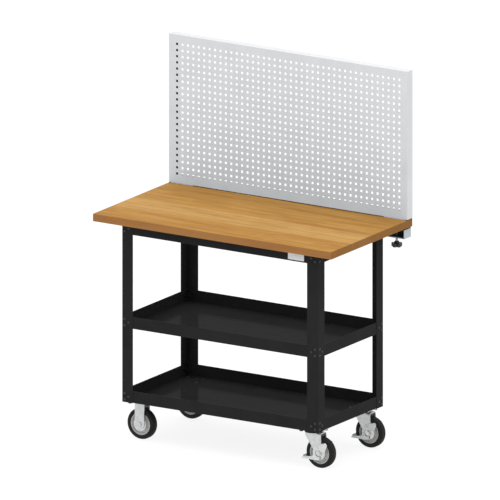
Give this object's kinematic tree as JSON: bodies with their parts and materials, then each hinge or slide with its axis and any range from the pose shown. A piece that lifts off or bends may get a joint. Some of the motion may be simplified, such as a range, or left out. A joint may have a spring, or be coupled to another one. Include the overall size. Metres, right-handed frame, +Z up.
{
  "type": "mobile assembly table",
  "caption": "Wheeled workshop table with a wooden top, two deep steel trays, braked swivel casters at one end and a perforated tool panel clamped along its back edge.",
  "frame": {"origin": "on the floor under the middle of the table: centre of the footprint of the whole object", "axes": "+X along the table towards the swivel casters, +Y from the front to the tool panel, +Z up"},
  "size_m": [1.1, 0.603, 1.518],
  "materials": {
    "oiled_hardwood": "finger-jointed laminated hardwood, oiled, satin",
    "black_powder_coat": "black powder coat, semi-gloss",
    "grey_powder_coat": "light grey powder coat, satin",
    "black_fasteners": "black oxide steel",
    "rubber": "moulded black rubber, matt",
    "grey_nylon": "moulded grey nylon",
    "black_phenolic": "moulded black phenolic",
    "zinc_plate": "bright zinc-plated pressed steel",
    "machined_steel": "turned steel, zinc plated"
  },
  "bodies": {
    "root": {"caster_bolts": "black_fasteners", "caster_nuts": "black_fasteners", "clamp_bracket_left": "grey_powder_coat", "clamp_bracket_right": "grey_powder_coat", "clamp_nut_channel_left": "black_powder_coat", "clamp_nut_channel_right": "black_powder_coat", "fixed_axle_back": "machined_steel", "fixed_axle_front": "machined_steel", "fixed_housing_back": "zinc_plate", "fixed_housing_front": "zinc_plate", "frame_bolts": "black_fasteners", "frame_nuts": "black_fasteners", "leg_back_left": "black_powder_coat", "leg_back_right": "black_powder_coat", "leg_front_left": "black_powder_coat", "leg_front_right": "black_powder_coat", "panel_bolts": "black_fasteners", "panel_upright_left": "black_powder_coat", "panel_upright_right": "black_powder_coat", "pegboard_face": "grey_powder_coat", "pegboard_frame": "grey_powder_coat", "rail_back": "black_powder_coat", "rail_front": "black_powder_coat", "rail_left": "black_powder_coat", "rail_right": "black_powder_coat", "swivel_kingpin_back": "machined_steel", "swivel_kingpin_front": "machined_steel", "swivel_top_plate_back": "zinc_plate", "swivel_top_plate_front": "zinc_plate", "tray_bottom": "black_powder_coat", "tray_middle": "black_powder_coat", "worktop": "oiled_hardwood", "worktop_screws": "black_fasteners"},
    "fixed_wheel_front": {"fixed_tyre_front": "rubber", "fixed_rim_front": "grey_nylon", "fixed_bushing_front": "machined_steel"},
    "swivel_head_front": {"swivel_fork_front": "zinc_plate", "swivel_bearing_front": "machined_steel", "swivel_axle_front": "machined_steel"},
    "swivel_wheel_front": {"swivel_tyre_front": "rubber", "swivel_rim_front": "grey_nylon", "swivel_bushing_front": "machined_steel"},
    "brake_front": {"brake_lever_front": "zinc_plate"},
    "fixed_wheel_back": {"fixed_tyre_back": "rubber", "fixed_rim_back": "grey_nylon", "fixed_bushing_back": "machined_steel"},
    "swivel_head_back": {"swivel_fork_back": "zinc_plate", "swivel_bearing_back": "machined_steel", "swivel_axle_back": "machined_steel"},
    "swivel_wheel_back": {"swivel_tyre_back": "rubber", "swivel_rim_back": "grey_nylon", "swivel_bushing_back": "machined_steel"},
    "brake_back": {"brake_lever_back": "zinc_plate"},
    "clamp_pad_left": {"clamp_pad_left": "machined_steel"},
    "clamp_screw_left": {"clamp_screw_left": "machined_steel", "clamp_knob_left": "black_phenolic"},
    "clamp_pad_right": {"clamp_pad_right": "machined_steel"},
    "clamp_screw_right": {"clamp_screw_right": "machined_steel", "clamp_knob_right": "black_phenolic"}
  },
  "joints": [
    {"name": "fixed_wheel_front_spin", "type": "hinge", "parent": "root", "child": "fixed_wheel_front", "pos_m": [-0.395, -0.1835, 0.0625], "axis": [0, 1, 0], "continuous": true},
    {"name": "swivel_front_turn", "type": "hinge", "parent": "root", "child": "swivel_head_front", "pos_m": [0.395, -0.1835, 0.14], "axis": [0, 0, 1], "continuous": true},
    {"name": "swivel_wheel_front_spin", "type": "hinge", "parent": "swivel_head_front", "child": "swivel_wheel_front", "pos_m": [0.431, -0.1835, 0.0625], "axis": [0, 1, 0], "continuous": true},
    {"name": "brake_front_press", "type": "hinge", "parent": "swivel_head_front", "child": "brake_front", "pos_m": [0.425, -0.1835, 0.0845], "axis": [0, -1, 0], "range_deg": [0, 7]},
    {"name": "fixed_wheel_back_spin", "type": "hinge", "parent": "root", "child": "fixed_wheel_back", "pos_m": [-0.395, 0.1805, 0.0625], "axis": [0, 1, 0], "continuous": true},
    {"name": "swivel_back_turn", "type": "hinge", "parent": "root", "child": "swivel_head_back", "pos_m": [0.395, 0.1805, 0.14], "axis": [0, 0, 1], "continuous": true},
    {"name": "swivel_wheel_back_spin", "type": "hinge", "parent": "swivel_head_back", "child": "swivel_wheel_back", "pos_m": [0.431, 0.1805, 0.0625], "axis": [0, 1, 0], "continuous": true},
    {"name": "brake_back_press", "type": "hinge", "parent": "swivel_head_back", "child": "brake_back", "pos_m": [0.425, 0.1805, 0.0845], "axis": [0, -1, 0], "range_deg": [0, 7]},
    {"name": "clamp_left_press", "type": "slide", "parent": "root", "child": "clamp_pad_left", "axis": [0, 0, 1], "range_m": [-0.0035, 0]},
    {"name": "clamp_left_turn", "type": "hinge", "parent": "clamp_pad_left", "child": "clamp_screw_left", "pos_m": [-0.491, 0.277, 0.807], "axis": [0, 0, 1], "range_deg": [-840, 0]},
    {"name": "clamp_right_press", "type": "slide", "parent": "root", "child": "clamp_pad_right", "axis": [0, 0, 1], "range_m": [-0.0035, 0]},
    {"name": "clamp_right_turn", "type": "hinge", "parent": "clamp_pad_right", "child": "clamp_screw_right", "pos_m": [0.491, 0.277, 0.807], "axis": [0, 0, 1], "range_deg": [-840, 0]}
  ],
  "couplings": [
    {"joint": "clamp_left_turn", "follows": "clamp_left_press", "rad_per_m": 4188.8},
    {"joint": "clamp_right_turn", "follows": "clamp_right_press", "rad_per_m": 4188.8}
  ]
}
